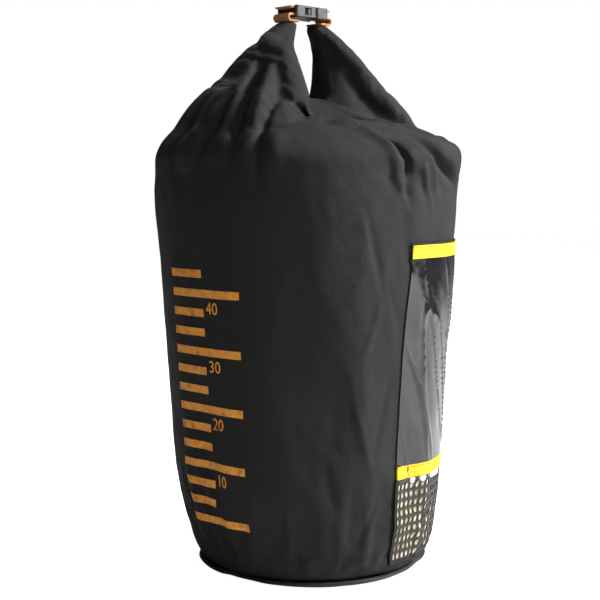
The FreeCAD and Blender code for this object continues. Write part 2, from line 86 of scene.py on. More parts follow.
def cleanMesh(piece, distance=0.00002, closeEnds=False):
    makeActive(piece)
    bpy.ops.object.mode_set(mode="EDIT")
    bpy.ops.mesh.select_all(action="SELECT")
    bpy.ops.mesh.remove_doubles(threshold=distance)
    if closeEnds:
        bpy.ops.mesh.fill_holes(sides=0)
    bpy.ops.mesh.select_all(action="SELECT")
    bpy.ops.mesh.normals_make_consistent(inside=False)
    bpy.ops.object.mode_set(mode="OBJECT")
    return piece


def smoothShade(piece, degrees=None):
    makeActive(piece)
    if degrees is None:
        bpy.ops.object.shade_smooth()
    else:
        bpy.ops.object.shade_smooth_by_angle(angle=math.radians(degrees))
    return piece


def wrapGrid(name, columns, rows, place):
    # a flat grid whose points go where place(u, v) says, u and v from 0 to 1
    deselectAll()
    bpy.ops.mesh.primitive_grid_add(x_subdivisions=columns, y_subdivisions=rows, size=1, calc_uvs=True)
    piece = bpy.context.active_object
    piece.name = name
    for vertex in piece.data.vertices:
        vertex.co = place(vertex.co.x + 0.5, vertex.co.y + 0.5)
    return piece


def eased(low, high, value):
    step = min(1.0, max(0.0, (value - low) / (high - low)))
    return step * step * (3 - 2 * step)


def mixed(a, b, share):
    return a + (b - a) * share


def bump(value, centre, width):
    # a smooth hill of height 1
    return math.exp(-((value - centre) / width) ** 2)


def throughRows(rows, share):
    # a smooth curve through rows of numbers, at a share of the way along them
    place = share * (len(rows) - 1)
    index = min(int(place), len(rows) - 2)
    step = place - index
    before = rows[max(index - 1, 0)]
    after = rows[min(index + 2, len(rows) - 1)]
    result = []
    for p0, p1, p2, p3 in zip(before, rows[index], rows[index + 1], after):
        slopeIn = (p2 - p0) / 2
        slopeOut = (p3 - p1) / 2
        result.append(
            (2 * step**3 - 3 * step**2 + 1) * p1
            + (step**3 - 2 * step**2 + step) * slopeIn
            + (-2 * step**3 + 3 * step**2) * p2
            + (step**3 - step**2) * slopeOut
        )
    return result


def compass(azimuth):
    # unit vector at an azimuth in degrees from +X
    return Vector((math.cos(math.radians(azimuth)), math.sin(math.radians(azimuth)), 0))


def finishPiece(piece, name, body, material, slotName, *replaced):
    piece.name = name
    piece.data.name = name
    piece.data.materials.clear()
    piece.data.materials.append(material)
    if body:
        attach(piece, body)
    if replaced:
        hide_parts(*replaced)
    return piece


# ---- camera, lights and floor ----
view = {
    "azimuth": -45.0,  # the side that the camera stands on
    "distance": 1.154,
    "height": 0.352,
    "aimHeight": 0.243,
    "aimAside": -0.006,  # the bag stands a little right of the middle
    "lens": 74.1,
}


def makeCamera():
    side = compass(view["azimuth"] - 90)
    place = side * view["distance"] + Vector((0, 0, view["height"]))
    bpy.ops.object.camera_add(location=place)
    camera = bpy.context.active_object
    camera.name = "camera"
    aim = compass(view["azimuth"]) * view["aimAside"] + Vector((0, 0, view["aimHeight"])) - place
    camera.rotation_euler = aim.to_track_quat("-Z", "Y").to_euler()
    camera.data.lens = view["lens"]
    camera.data.clip_start = 0.01
    bpy.context.scene.camera = camera
    return camera


makeCamera()
print("camera made")

# ---- the fabric of the bag ----
bag = {
    # outside of the tube: height, half width along the mouth, half width across it
    "tube": [
        (0.004, 0.1010, 0.1010),
        (0.010, 0.1065, 0.1065),
        (0.024, 0.1135, 0.1135),
        (0.050, 0.1180, 0.1180),
        (0.100, 0.1212, 0.1212),
        (0.160, 0.1245, 0.1245),
        (0.220, 0.1285, 0.1285),
        (0.280, 0.1330, 0.1330),
        (0.325, 0.1370, 0.1370),
        (0.352, 0.1380, 0.1372),
        (0.373, 0.1395, 0.1345),
        (0.388, 0.1320, 0.1150),
        (0.398, 0.1180, 0.0900),
        (0.406, 0.0980, 0.0640),
        (0.415, 0.0720, 0.0400),
        (0.424, 0.0420, 0.0200),
        (0.428, 0.0120, 0.0060),
    ],
    # an arm: centre along X and Y, height, half width along X, half width along Y, tilt
    "nearArm": [
        (-0.070, 0.000, 0.330, 0.058, 0.092, 0),
        (-0.073, 0.001, 0.374, 0.056, 0.084, 0),
        (-0.072, 0.002, 0.400, 0.049, 0.070, 0),
        (-0.067, 0.002, 0.421, 0.041, 0.053, 0),
        (-0.058, 0.001, 0.442, 0.032, 0.038, 0),
        (-0.049, 0.000, 0.462, 0.023, 0.026, 0),
        (-0.0385, 0.000, 0.482, 0.0145, 0.016, 0),
        (-0.0255, 0.000, 0.4965, 0.0080, 0.011, 0),
    ],
    "farArm": [
        (0.108, -0.026, 0.335, 0.024, 0.060, 8),
        (0.107, -0.034, 0.378, 0.025, 0.058, 4),
        (0.099, -0.020, 0.393, 0.020, 0.043, -16),
        (0.083, -0.016, 0.414, 0.0170, 0.034, -34),
        (0.065, -0.012, 0.436, 0.0150, 0.027, -40),
        (0.047, -0.008, 0.458, 0.0130, 0.0215, -40),
        (0.029, -0.004, 0.479, 0.0105, 0.0155, -34),
        (0.0110, 0.000, 0.4965, 0.0080, 0.010, -20),
    ],
    # the fabric under the far arm, set back in its shade
    "farWeb": [
        (0.072, 0.006, 0.330, 0.060, 0.088, 0),
        (0.072, 0.008, 0.380, 0.056, 0.068, 0),
        (0.064, 0.008, 0.406, 0.046, 0.046, 0),
        (0.055, 0.007, 0.427, 0.036, 0.032, 0),
        (0.046, 0.005, 0.446, 0.026, 0.023, 0),
        (0.035, 0.003, 0.464, 0.018, 0.017, 0),
        (0.022, 0.001, 0.482, 0.0115, 0.012, 0),
        (0.0095, 0.000, 0.4960, 0.0080, 0.010, 0),
    ],
    # the rolled edge down the front of the near arm
    "roll": [
        (-0.0240, -0.004, 0.494, 0.0065, 0.0065, 0),
        (-0.0410, -0.013, 0.476, 0.0100, 0.0100, 0),
        (-0.0485, -0.022, 0.458, 0.0135, 0.0125, 0),
        (-0.0530, -0.032, 0.440, 0.0155, 0.0140, 0),
        (-0.0570, -0.042, 0.426, 0.0150, 0.0130, 0),
        (-0.0600, -0.049, 0.415, 0.0100, 0.0090, 0),
    ],
    # the hollow under the end of that roll: centre and radii
    "hollow": ((-0.0600, -0.0660, 0.4030), (0.0130, 0.0170, 0.0150)),
    "voxel": 0.0040,
    "hollowDepth": 0.026,
    # the cloth run: frames, outward pressure, stretch, and how far a point may move
    "clothFrames": 14,
    "clothPressure": 0.9,
    "clothShrink": -0.022,
    "clothCap": 0.0055,
    "baseShift": (0.0036, -0.0036),  # the base sits a little to one side of the tube
    # sharper creases, pressed in last: the same numbers as the folds
    "creases": [
        ((222, 0.398, 0.094), (238, 0.402, 0.090), 0.0032, 0.0034),
        ((238, 0.402, 0.090), (251, 0.402, 0.104), 0.0032, 0.0034),
        ((251, 0.402, 0.104), (262, 0.340, 0.138), 0.0036, 0.0032),
        ((255, 0.400, 0.106), (265, 0.335, 0.138), 0.0045, -0.0062),
        ((262, 0.398, 0.110), (285, 0.345, 0.138), 0.0042, -0.0052),
        ((268, 0.392, 0.118), (277, 0.330, 0.138), 0.0036, 0.0036),
        ((276, 0.392, 0.118), (300, 0.345, 0.138), 0.0038, -0.0046),
        ((283, 0.392, 0.118), (309, 0.352, 0.138), 0.0036, 0.0036),
        ((192, 0.455, 0.058), (198, 0.372, 0.130), 0.0032, -0.0038),
        ((186, 0.440, 0.075), (184, 0.370, 0.136), 0.0032, -0.0028),
        ((203, 0.430, 0.070), (208, 0.360, 0.136), 0.0034, -0.0026),
        ((300, 0.440, 0.060), (296, 0.392, 0.112), 0.0036, -0.0040),
        ((285, 0.432, 0.050), (281, 0.398, 0.096), 0.0034, 0.0030),
        ((246, 0.330, 0.137), (254, 0.262, 0.132), 0.0040, -0.0016),
        ((254, 0.255, 0.131), (247, 0.205, 0.128), 0.0038, 0.0014),
        ((262, 0.190, 0.127), (253, 0.120, 0.123), 0.0042, -0.0018),
        ((244, 0.165, 0.125), (252, 0.098, 0.121), 0.0040, 0.0014),
        ((258, 0.090, 0.121), (248, 0.040, 0.117), 0.0040, -0.0018),
        ((232, 0.120, 0.122), (238, 0.060, 0.118), 0.0042, -0.0012),
        ((100, 0.320, 0.137), (92, 0.240, 0.131), 0.0042, -0.0018),
        ((55, 0.220, 0.129), (48, 0.130, 0.124), 0.0042, -0.0018),
        ((125, 0.160, 0.125), (132, 0.080, 0.120), 0.0042, -0.0016),
        ((12, 0.310, 0.136), (20, 0.220, 0.129), 0.0042, -0.0018),
        ((345, 0.200, 0.127), (352, 0.110, 0.122), 0.0042, -0.0016),
    ],
    # folds: azimuth, height and distance from the axis at each end, half width, how far it stands out
    "folds": [
        # the edge of the front panel, and the crease beside it that runs down to the right
        ((222, 0.396, 0.094), (236, 0.401, 0.090), 0.007, 0.0045),
        ((236, 0.401, 0.090), (251, 0.400, 0.106), 0.007, 0.0050),
        ((251, 0.400, 0.106), (262, 0.345, 0.139), 0.006, 0.0045),
        ((257, 0.396, 0.112), (267, 0.346, 0.139), 0.006, -0.0060),
        ((240, 0.409, 0.070), (250, 0.407, 0.080), 0.0035, -0.0040),
        # creases that run from under the far arm to the right shoulder
        ((262, 0.398, 0.110), (292, 0.350, 0.138), 0.008, -0.0065),
        ((270, 0.386, 0.125), (281, 0.340, 0.139), 0.007, 0.0040),
        ((279, 0.390, 0.120), (303, 0.345, 0.139), 0.0065, 0.0050),
        ((286, 0.388, 0.122), (311, 0.350, 0.139), 0.006, -0.0050),
        ((271, 0.352, 0.138), (276, 0.332, 0.139), 0.008, -0.0045),
        ((300, 0.388, 0.124), (320, 0.340, 0.140), 0.007, 0.0030),
        # the fan of creases on the near arm
        ((190, 0.458, 0.060), (199, 0.368, 0.137), 0.007, -0.0060),
        ((196, 0.452, 0.060), (207, 0.372, 0.130), 0.007, 0.0035),
        ((186, 0.420, 0.098), (186, 0.366, 0.139), 0.006, -0.0040),
        ((180, 0.430, 0.096), (178, 0.350, 0.140), 0.008, 0.0030),
        ((173, 0.425, 0.096), (169, 0.352, 0.140), 0.006, -0.0035),
        ((206, 0.405, 0.110), (209, 0.345, 0.139), 0.007, -0.0030),
        ((213, 0.412, 0.085), (214, 0.352, 0.139), 0.008, 0.0025),
        # the same kind of folds behind
        ((128, 0.396, 0.092), (110, 0.400, 0.082), 0.007, 0.0045),
        ((110, 0.400, 0.082), (96, 0.346, 0.137), 0.007, 0.0045),
        ((104, 0.396, 0.092), (89, 0.342, 0.138), 0.006, -0.0055),
        ((70, 0.398, 0.090), (52, 0.346, 0.137), 0.007, -0.0055),
        ((62, 0.392, 0.105), (40, 0.340, 0.139), 0.008, 0.0045),
        ((50, 0.392, 0.110), (30, 0.348, 0.139), 0.006, -0.0050),
        ((150, 0.420, 0.085), (142, 0.356, 0.139), 0.008, -0.0045),
        ((160, 0.430, 0.085), (156, 0.350, 0.140), 0.007, 0.0030),
        ((20, 0.402, 0.118), (10, 0.345, 0.140), 0.007, -0.0040),
        ((350, 0.402, 0.118), (345, 0.346, 0.140), 0.007, -0.0040),
        ((335, 0.398, 0.116), (330, 0.346, 0.139), 0.008, 0.0035),
        # slack above the heel and soft dents in the tube
        ((222, 0.010, 0.113), (220, 0.034, 0.119), 0.004, -0.0035),
        ((226, 0.008, 0.113), (225, 0.030, 0.119), 0.004, 0.0025),
        ((250, 0.012, 0.113), (262, 0.040, 0.120), 0.006, -0.0020),
        ((285, 0.012, 0.113), (276, 0.042, 0.120), 0.006, -0.0018),
        ((190, 0.014, 0.114), (182, 0.044, 0.120), 0.006, -0.0020),
        ((150, 0.012, 0.113), (158, 0.040, 0.120), 0.005, -0.0020),
        ((110, 0.012, 0.113), (104, 0.044, 0.120), 0.006, -0.0022),
        ((60, 0.012, 0.113), (68, 0.040, 0.120), 0.005, -0.0020),
        ((20, 0.012, 0.113), (12, 0.046, 0.120), 0.006, -0.0022),
        ((330, 0.012, 0.113), (322, 0.040, 0.120), 0.005, -0.0018),
        ((248, 0.300, 0.138), (256, 0.170, 0.130), 0.010, -0.0016),
        ((256, 0.290, 0.138), (262, 0.200, 0.132), 0.009, 0.0014),
        ((238, 0.240, 0.135), (246, 0.110, 0.126), 0.012, -0.0014),
        ((252, 0.150, 0.128), (262, 0.070, 0.123), 0.009, -0.0016),
        ((262, 0.330, 0.140), (268, 0.240, 0.135), 0.008, -0.0016),
        ((120, 0.300, 0.138), (112, 0.170, 0.130), 0.012, -0.0018),
        ((40, 0.280, 0.137), (48, 0.160, 0.129), 0.012, -0.0018),
        ((350, 0.300, 0.138), (342, 0.180, 0.131), 0.012, -0.0016),
    ],
}


def ringSkin(name, rows, around, along):
    # a closed skin over oval rings, each ring tilted about Y
    def place(u, v):
        x, y, z, halfX, halfY, tilt = throughRows(rows, v)
        angle = u * 2 * math.pi
        lean = math.radians(tilt)
        across = halfX * math.cos(angle)
        rise = z - across * math.sin(lean)
        return Vector((x + across * math.cos(lean), y + halfY * math.sin(angle), rise))

    piece = wrapGrid(name, around, along, place)
    return cleanMesh(piece, closeEnds=True)


def tubeSkin():
    rows = bag["tube"]

    def place(u, v):
        z, halfX, halfY = throughRows(rows, v)
        angle = u * 2 * math.pi
        shift = 1 - eased(0.0, 0.09, z)
        offX, offY = bag["baseShift"]
        return Vector((halfX * math.cos(angle) + offX * shift, halfY * math.sin(angle) + offY * shift, z))

    return cleanMesh(wrapGrid("tubeSkin", 160, 120, place), closeEnds=True)


def readPoints(piece):
    flat = numpy.empty(len(piece.data.vertices) * 3)
    piece.data.vertices.foreach_get("co", flat)
    return flat.reshape(-1, 3)


def readNormals(piece):
    flat = numpy.empty(len(piece.data.vertices) * 3)
    piece.data.vertices.foreach_get("normal", flat)
    return flat.reshape(-1, 3)


def writePoints(piece, points):
    piece.data.vertices.foreach_set("co", points.ravel())
    piece.data.update()
    return piece


def pressFolds(piece, folds):
    # each fold raises or sinks the fabric along a line that lies on it, fading towards the line's ends
    points = readPoints(piece)
    normals = readNormals(piece)
    surface = BVHTree.FromObject(piece, bpy.context.evaluated_depsgraph_get())
    moved = numpy.zeros(len(points))
    steps = 12
    for first, last, halfWidth, height in folds:
        line = []
        for step in range(steps + 1):
            azimuth, rise, reach = (mixed(a, b, step / steps) for a, b in zip(first, last))
            line.append(surface.find_nearest(compass(azimuth) * reach + Vector((0, 0, rise)))[0])
        line = numpy.array(line)
        close = numpy.linalg.norm(points - line.mean(axis=0), axis=1) < numpy.ptp(line, axis=0).max() + 0.03
        near = points[close]
        nearest = numpy.full(len(near), 1.0)
        along = numpy.zeros(len(near))
        for step in range(steps):
            start, run = line[step], line[step + 1] - line[step]
            share = numpy.clip((near - start) @ run / max(run @ run, 1e-12), 0, 1)
            distance = numpy.linalg.norm(near - start - share[:, None] * run, axis=1)
            along = numpy.where(distance < nearest, (step + share) / steps, along)
            nearest = numpy.minimum(distance, nearest)
        fade = numpy.sin(math.pi * numpy.clip(along, 0.03, 0.97)) ** 0.6
        moved[close] += height * fade * numpy.exp(-((nearest / halfWidth) ** 2))
    return writePoints(piece, points + normals * moved[:, None])


def roughen(piece):
    # faint puckers all over, as loosely filled cloth has
    points = readPoints(piece)
    normals = readNormals(piece)
    depths = numpy.zeros(len(points))
    for index, (x, y, z) in enumerate(points):
        slow = noise.noise(Vector((x * 24, y * 24, z * 13)))
        fine = noise.noise(Vector((x * 95 + z * 40, y * 95, z * 48)))
        free = eased(0.01, 0.03, z) * (1 - eased(0.47, 0.49, z))
        depths[index] = (0.0008 * slow + 0.00030 * fine) * free
    return writePoints(piece, points + normals * depths[:, None])


def digHollow(piece):
    # a deep dimple, pushed in towards the axis
    centre, radii = bag["hollow"]
    points = readPoints(piece)
    away = (points - numpy.array(centre)) / numpy.array(radii)
    depth = numpy.exp(-((away**2).sum(axis=1)) * 1.4)
    inward = -points * (1, 1, 0)
    inward /= numpy.maximum(numpy.linalg.norm(inward, axis=1), 1e-6)[:, None]
    return writePoints(piece, points + inward * (depth * bag["hollowDepth"])[:, None])


def slackenFabric(piece):
    # a short cloth run under light pressure, in cloth a little larger than the form
    before = readPoints(piece)
    held = piece.vertex_groups.new(name="held")
    for index, (x, y, z) in enumerate(before):
        firm = max(eased(0.485, 0.492, z), 1 - eased(0.004, 0.012, z))
        held.add([index], firm, "REPLACE")
    cloth = addModifier(piece, "CLOTH")
    settings = cloth.settings
    settings.quality = 4
    settings.mass = 0.2
    settings.tension_stiffness = 12
    settings.compression_stiffness = 12
    settings.shear_stiffness = 6
    settings.bending_stiffness = 0.12
    settings.vertex_group_mass = "held"
    settings.use_pressure = True
    settings.uniform_pressure_force = bag["clothPressure"]
    settings.shrink_min = bag["clothShrink"]
    settings.effector_weights.gravity = 0
    cloth.point_cache.frame_start = 1
    cloth.point_cache.frame_end = bag["clothFrames"]
    for step in range(1, bag["clothFrames"] + 1):
        bpy.context.scene.frame_set(step)
    applyModifiers(piece)
    bpy.context.scene.frame_set(1)
    piece.vertex_groups.clear()
    change = readPoints(piece) - before
    length = numpy.maximum(numpy.linalg.norm(change, axis=1), 1e-9)
    capped = numpy.minimum(length, bag["clothCap"])
    print("cloth moved", round(float(length.max()), 4), round(float(length.mean()), 4))
    return writePoints(piece, before + change * (capped / length)[:, None])


def makeFabric():
    parts = [
        tubeSkin(),
        ringSkin("nearSkin", bag["nearArm"], 64, 60),
        ringSkin("farSkin", bag["farArm"], 64, 60),
        ringSkin("webSkin", bag["farWeb"], 64, 60),
        ringSkin("rollSkin", bag["roll"], 32, 40),
    ]
    fabric = joinPieces(parts, "fabric")
    addModifier(fabric, "REMESH", mode="VOXEL", voxel_size=bag["voxel"], use_smooth_shade=True)
    applyModifiers(fabric)
    addModifier(fabric, "SMOOTH", factor=0.5, iterations=2)
    applyModifiers(fabric)
    digHollow(fabric)
    pressFolds(fabric, bag["folds"])
    slackenFabric(fabric)
    addModifier(fabric, "SUBSURF", levels=1, render_levels=1)
    applyModifiers(fabric)
    pressFolds(fabric, bag["creases"])
    roughen(fabric)
    return smoothShade(fabric)


# ---- materials ----
def newMaterial(name):
    material = bpy.data.materials.new(name)
    material.use_nodes = True
    nodes = material.node_tree.nodes
    return material, nodes, material.node_tree.links, nodes["Principled BSDF"]


def addTexture(nodes, links, kind, scale, **values):
    # a texture on the object's own coordinates
    place = nodes.new("ShaderNodeTexCoord")
    texture = nodes.new(kind)
    texture.inputs["Scale"].default_value = scale
    for name, value in values.items():
        texture.inputs[name].default_value = value
    links.new(place.outputs["Object"], texture.inputs["Vector"])
    return texture


def addRamp(nodes, links, source, stops):
    ramp = nodes.new("ShaderNodeValToRGB")
    ramp.color_ramp.elements[0].position = stops[0][0]
    ramp.color_ramp.elements[0].color = stops[0][1]
    ramp.color_ramp.elements[1].position = stops[-1][0]
    ramp.color_ramp.elements[1].color = stops[-1][1]
    for position, color in stops[1:-1]:
        ramp.color_ramp.elements.new(position).color = color
    links.new(source, ramp.inputs["Fac"])
    return ramp


def addBump(nodes, links, shader, height, strength, distance):
    relief = nodes.new("ShaderNodeBump")
    relief.inputs["Strength"].default_value = strength
    relief.inputs["Distance"].default_value = distance
    links.new(height, relief.inputs["Height"])
    links.new(relief.outputs["Normal"], shader.inputs["Normal"])
    return relief


def addMath(nodes, links, operation, first, second):
    step = nodes.new("ShaderNodeMath")
    step.operation = operation
    for socket, source in zip(step.inputs, (first, second)):
        if isinstance(source, (int, float)):
            socket.default_value = source
        else:
            links.new(source, socket)
    return step.outputs[0]


def addShares(nodes, links, first, firstShare, second, secondShare):
    # two values added, each times its share
    one = addMath(nodes, links, "MULTIPLY", first, firstShare)
    other = addMath(nodes, links, "MULTIPLY", second, secondShare)
    return addMath(nodes, links, "ADD", one, other)


def grey(value):
    return (value, value, value, 1)


def addWeave(nodes, links, threadsPerMetre):
    # two sets of threads that cross, one round the bag and one up it
    place = nodes.new("ShaderNodeTexCoord")
    split = nodes.new("ShaderNodeSeparateXYZ")
    links.new(place.outputs["Object"], split.inputs[0])
    turn = addMath(nodes, links, "ARCTAN2", split.outputs["Y"], split.outputs["X"])
    pitch = threadsPerMetre * 6.283
    meanRadius = 0.132
    around = addMath(nodes, links, "MULTIPLY", turn, meanRadius * pitch)
    upward = addMath(nodes, links, "MULTIPLY", split.outputs["Z"], pitch)
    warp = addMath(nodes, links, "SINE", around, 0)
    weft = addMath(nodes, links, "SINE", upward, 0)
    return addMath(nodes, links, "MULTIPLY", warp, weft)


def clothFinish(name, dark, light, roughness, threadsPerMetre, relief, specular=0.3, sheen=0.03):
    material, nodes, links, shader = newMaterial(name)
    cloud = addTexture(nodes, links, "ShaderNodeTexNoise", 26, Detail=6, Roughness=0.62)
    fleck = addTexture(nodes, links, "ShaderNodeTexNoise", 900, Detail=2, Roughness=0.5)
    weave = addWeave(nodes, links, threadsPerMetre)
    blend = addShares(nodes, links, cloud.outputs["Fac"], 0.55, fleck.outputs["Fac"], 0.3)
    blend = addShares(nodes, links, blend, 1.0, weave, 0.05)
    ramp = addRamp(nodes, links, blend, [(0.30, dark), (0.58, light)])
    links.new(ramp.outputs["Color"], shader.inputs["Base Color"])
    finish = [(0.35, grey(roughness - 0.07)), (0.65, grey(roughness + 0.08))]
    worn = addRamp(nodes, links, cloud.outputs["Fac"], finish)
    links.new(worn.outputs["Color"], shader.inputs["Roughness"])
    shader.inputs["Specular IOR Level"].default_value = specular
    shader.inputs["Sheen Weight"].default_value = sheen
    shader.inputs["Sheen Roughness"].default_value = 0.45
    height = addShares(nodes, links, weave, 0.35, fleck.outputs["Fac"], 1.0)
    addBump(nodes, links, shader, height, relief, 0.0006)
    return material


fabricDark = (0.0078, 0.0079, 0.0075, 1)
fabricLight = (0.0150, 0.0150, 0.0143, 1)
fabricFinish = clothFinish("coatedPolyester", fabricDark, fabricLight, 0.62, 900, 0.7, 0.22, 0.02)
fabric = makeFabric()
fabricNodes = ("body_panel", "near_ear", "far_ear", "rolled_mouth", "mouth_stiffener")
finishPiece(fabric, "bag_fabric", "bag", fabricFinish, "black_fabric", *fabricNodes)
print("fabric made", len(fabric.data.polygons))


# ---- trimmings that follow the fabric ----
fabricTree = BVHTree.FromObject(fabric, bpy.context.evaluated_depsgraph_get())


def onFabric(azimuth, height, lift):
    # the point on the fabric at that azimuth and height, lifted off along the fabric's normal
    out = compass(azimuth)
    start = out * 0.2 + Vector((0, 0, height))
    hit, normal, _, _ = fabricTree.ray_cast(start, -out)
    steady = (normal + out * 0.6).normalized()
    return hit + steady * lift


def onArc(azimuth, height, lift):
    # the same, but averaged over its neighbours so that a stiff strip doesn't follow each wrinkle
    places = [(azimuth + side, height + rise) for side in (-1.6, 0, 1.6) for rise in (-0.004, 0, 0.004)]
    near = [onFabric(*place, 0) for place in places]
    middle = sum(near, Vector()) / len(near)
    own = onFabric(azimuth, height, 0)
    radius = max(math.hypot(middle.x, middle.y), math.hypot(own.x, own.y)) + lift
    return compass(azimuth) * radius + Vector((0, 0, height))


def thicken(piece, thickness, rim=0.0):
    addModifier(piece, "SOLIDIFY", thickness=thickness, offset=-1, use_even_offset=True)
    if rim:
        corner = math.radians(40)
        addModifier(piece, "BEVEL", width=rim, segments=2, limit_method="ANGLE", angle_limit=corner)
    return applyModifiers(piece)


def patch(name, azimuths, heights, columns, rows, lift, thickness, shape=None, rim=0.0):
    # a strip or panel on the fabric; shape(u, v) adds to its lift
    def place(u, v):
        extra = shape(u, v) if shape else 0
        return onArc(mixed(azimuths[0], azimuths[1], u), mixed(heights[0], heights[1], v), lift + extra)

    piece = thicken(wrapGrid(name, columns, rows, place), thickness, rim)
    makeActive(piece)
    return smoothShade(cleanMesh(piece, distance=0.000005), 40)


def stitchRow(name, points, length, width):
    # short raised threads laid along a run of points, modelled once and copied
    copies = []
    for index in range(len(points) - 1):
        start, end = points[index], points[index + 1]
        run = end - start
        deselectAll()
        middle = (start + end) / 2
        bpy.ops.mesh.primitive_uv_sphere_add(segments=6, ring_count=4, radius=0.5, location=middle)
        thread = bpy.context.active_object
        thread.name = name
        thread.scale = (length, width, width * 0.7)
        thread.rotation_euler = run.to_track_quat("X", "Z").to_euler()
        copies.append(thread)
    row = joinPieces(copies, name)
    makeActive(row)
    bpy.ops.object.transform_apply(location=True, rotation=True, scale=True)
    return smoothShade(row)


window = {
    "middle": 298.0,  # azimuth
    "halfAngle": 31.0,
    "filmFoot": 0.0872,
    "filmTop": 0.2945,
    "filmLift": 0.0011,
    "upperTape": (0.2875, 0.2990),
    "lowerTape": (0.0920, 0.1035),
    "tapeLift": 0.0021,
    "tapeThickness": 0.0014,
    "tapeStitch": (0.0024, 0.0007),  # length and width of a stitch
    "tapeStitchIn": 0.0014,  # from the tape's edge to its stitches
    "lipHalf": 0.0011,
    "hem": (0.0868, 0.0916),
    "meshFoot": 0.0170,
    "meshTop": 0.0885,
    "meshColumns": 21,
    "meshRows": 9,
}
windowSides = (window["middle"] - window["halfAngle"], window["middle"] + window["halfAngle"])


def filmWave(u, v):
    # soft vertical flutes with sharper creases, flat where the tapes hold the film
    free = math.sin(math.pi * min(1, max(0, v))) ** 0.4
    edge = min(1, 9 * u) * min(1, 9 * (1 - u))
    slow = noise.noise(Vector((u * 4.5 + v, v * 1.4, 3.1))) * 0.0014
    crease = abs(noise.noise(Vector((u * 7.0 + v * 3.5, v * 2.1, 8.7))))
    return free * edge * (slow + 0.0016 * (1 - min(1, crease * 9)) ** 2 + 0.0012)


def filmFinish():
    material, nodes, links, shader = newMaterial("clearVinyl")
    smear = addTexture(nodes, links, "ShaderNodeTexNoise", 40, Detail=4, Roughness=0.6)
    tints = [(0.35, (0.010, 0.010, 0.011, 1)), (0.7, (0.024, 0.024, 0.026, 1))]
    ramp = addRamp(nodes, links, smear.outputs["Fac"], tints)
    links.new(ramp.outputs["Color"], shader.inputs["Base Color"])
    worn = addRamp(nodes, links, smear.outputs["Fac"], [(0.3, grey(0.04)), (0.75, grey(0.10))])
    links.new(worn.outputs["Color"], shader.inputs["Roughness"])
    shader.inputs["Specular IOR Level"].default_value = 0.6
    shader.inputs["Transmission Weight"].default_value = 0.2
    shader.inputs["IOR"].default_value = 1.46
    shader.inputs["Coat Weight"].default_value = 0.1
    shader.inputs["Coat Roughness"].default_value = 0.04
    crinkle = addTexture(nodes, links, "ShaderNodeTexNoise", 38, Detail=2, Roughness=0.5, Distortion=0.9)
    addBump(nodes, links, shader, crinkle.outputs["Fac"], 0.18, 0.002)
    return material


def makeFilm():
    heights = (window["filmFoot"], window["filmTop"])
    film = patch("film", windowSides, heights, 90, 120, window["filmLift"], 0.0006, filmWave)
    return finishPiece(film, "window_sheet", "bag", filmFinish(), "clear_film", "window_film")


def tapeFinish():
    material, nodes, links, shader = newMaterial("yellowTape")
    rib = addTexture(nodes, links, "ShaderNodeTexNoise", 420, Detail=3, Roughness=0.6)
    grime = addTexture(nodes, links, "ShaderNodeTexNoise", 60, Detail=4, Roughness=0.6)
    tone = addShares(nodes, links, rib.outputs["Fac"], 0.4, grime.outputs["Fac"], 0.6)
    ramp = addRamp(nodes, links, tone, [(0.3, (0.62, 0.40, 0.012, 1)), (0.6, (0.90, 0.66, 0.030, 1))])
    links.new(ramp.outputs["Color"], shader.inputs["Base Color"])
    shader.inputs["Roughness"].default_value = 0.62
    shader.inputs["Specular IOR Level"].default_value = 0.3
    addBump(nodes, links, shader, addWeave(nodes, links, 700), 0.3, 0.0006)
    return material


def threadFinish(name, color, light):
    material, nodes, links, shader = newMaterial(name)
    ply = addTexture(nodes, links, "ShaderNodeTexNoise", 1200, Detail=2, Roughness=0.5)
    ramp = addRamp(nodes, links, ply.outputs["Fac"], [(0.3, color), (0.7, light)])
    links.new(ramp.outputs["Color"], shader.inputs["Base Color"])
    shader.inputs["Roughness"].default_value = 0.55
    addBump(nodes, links, shader, ply.outputs["Fac"], 0.4, 0.0003)
    return material


darkThread = threadFinish("darkThread", (0.010, 0.009, 0.009, 1), (0.028, 0.026, 0.024, 1))
goldThread = threadFinish("goldThread", (0.42, 0.24, 0.01, 1), (0.60, 0.38, 0.02, 1))


def makeTapes():
    finish = tapeFinish()
    for part, name in (("upper", "window_upper_tape"), ("lower", "window_lower_tape")):
        foot, top = window[part + "Tape"]

        def fold(u, v):
            # a rolled edge above and below, and fine ribs along the tape
            edge = max(bump(v, 0.04, 0.07), bump(v, 0.96, 0.07))
            return 0.0004 * edge + 0.00012 * math.sin(v * math.pi * 14)

        lift = window["tapeLift"]
        tape = patch(part, windowSides, (foot, top), 120, 30, lift, window["tapeThickness"], fold, 0.0003)
        finishPiece(tape, name + "_strip", "bag", finish, "yellow_tape", name)
        stitchIn = window["tapeStitchIn"]
        for side, height in (("foot", foot + stitchIn), ("top", top - stitchIn)):
            azimuths = [mixed(windowSides[0] + 1, windowSides[1] - 1, step / 44) for step in range(45)]
            run = [onArc(azimuth, height, lift + 0.0004) for azimuth in azimuths]
            row = stitchRow("row", run, *window["tapeStitch"])
            finishPiece(row, f"{part}_tape_stitches_{side}", "bag", goldThread, "yellow_tape")
        # the folded black edge that shows round the tape
        lipSides = (windowSides[0] - 0.7, windowSides[1] + 0.7)
        half = window["lipHalf"]
        for side, height in (("under", foot - 0.0009), ("over", top + 0.0009)):
            lip = patch("lip", lipSides, (height - half, height + half), 110, 4, 0.0014, 0.0012)
            finishPiece(lip, f"{part}_tape_lip_{side}", "bag", fabricFinish, "black_fabric")


